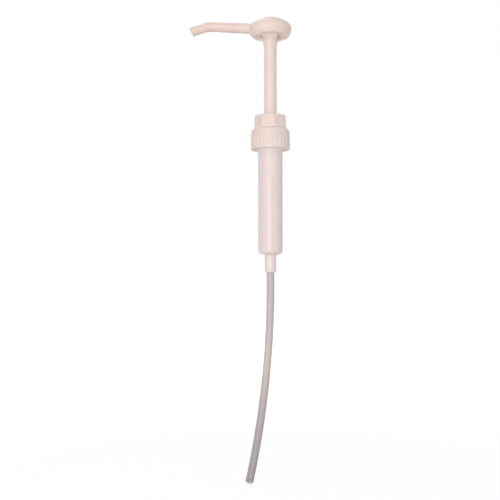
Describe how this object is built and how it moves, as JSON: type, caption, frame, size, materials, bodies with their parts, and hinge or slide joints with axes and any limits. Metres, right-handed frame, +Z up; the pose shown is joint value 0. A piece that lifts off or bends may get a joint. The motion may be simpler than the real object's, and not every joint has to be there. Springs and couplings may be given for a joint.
{
  "type": "bottle hand pump",
  "caption": "Hand pump that screws on a bottle with a 38 mm neck: a press-down head with a side spout on a long sprung plunger, over a slim barrel and a bent suction tube.",
  "frame": {"origin": "on the pump's axis where the gasket under the closure meets the lip of the bottle, the mount neck_thread", "axes": "+Z up along the pump's axis from the bottle to the head, the spout points along -X, the pictured side faces -Y"},
  "size_m": [0.1075, 0.0515, 0.4794],
  "materials": {
    "white_moulding": "smooth moulded polypropylene, warm white, slightly translucent",
    "bearing_plastic": "plain moulded acetal, off-white",
    "tube_plastic": "extruded polyethylene, natural grey and cloudy",
    "seal_rubber": "black oil-resistant rubber",
    "spring_steel": "drawn stainless wire",
    "ball_steel": "ground and polished stainless steel"
  },
  "bodies": {
    "pump_body": {"barrel": "white_moulding", "dip_tube": "tube_plastic", "neck_gasket": "seal_rubber", "locking_collar": "white_moulding", "guide_bush": "bearing_plastic", "wiper_seal": "seal_rubber", "inlet_ball_cage": "bearing_plastic", "return_spring": "spring_steel"},
    "closure": {"screw_closure": "white_moulding"},
    "piston": {"piston_seal": "seal_rubber"},
    "plunger": {"actuator_head": "white_moulding", "stem": "white_moulding", "piston_nose": "bearing_plastic"},
    "outlet_valve": {"outlet_ball": "ball_steel"},
    "inlet_valve": {"inlet_ball": "ball_steel"}
  },
  "joints": [
    {"name": "pump_stroke", "type": "slide", "parent": "pump_body", "child": "piston", "axis": [0, 0, -1], "range_m": [0, 0.071], "stiffness_N_per_m": 180, "springref_m": -0.05, "deforming": ["return_spring"]},
    {"name": "head_swivel", "type": "hinge", "parent": "piston", "child": "plunger", "pos_m": [0, 0, 0], "axis": [0, 0, 1], "continuous": true},
    {"name": "closure_spin", "type": "hinge", "parent": "pump_body", "child": "closure", "pos_m": [0, 0, 0], "axis": [0, 0, -1], "continuous": true},
    {"name": "outlet_ball_lift", "type": "slide", "parent": "plunger", "child": "outlet_valve", "axis": [0, 0, 1], "range_m": [0, 0.0025]},
    {"name": "inlet_ball_lift", "type": "slide", "parent": "pump_body", "child": "inlet_valve", "axis": [0, 0, 1], "range_m": [0, 0.003]}
  ]
}
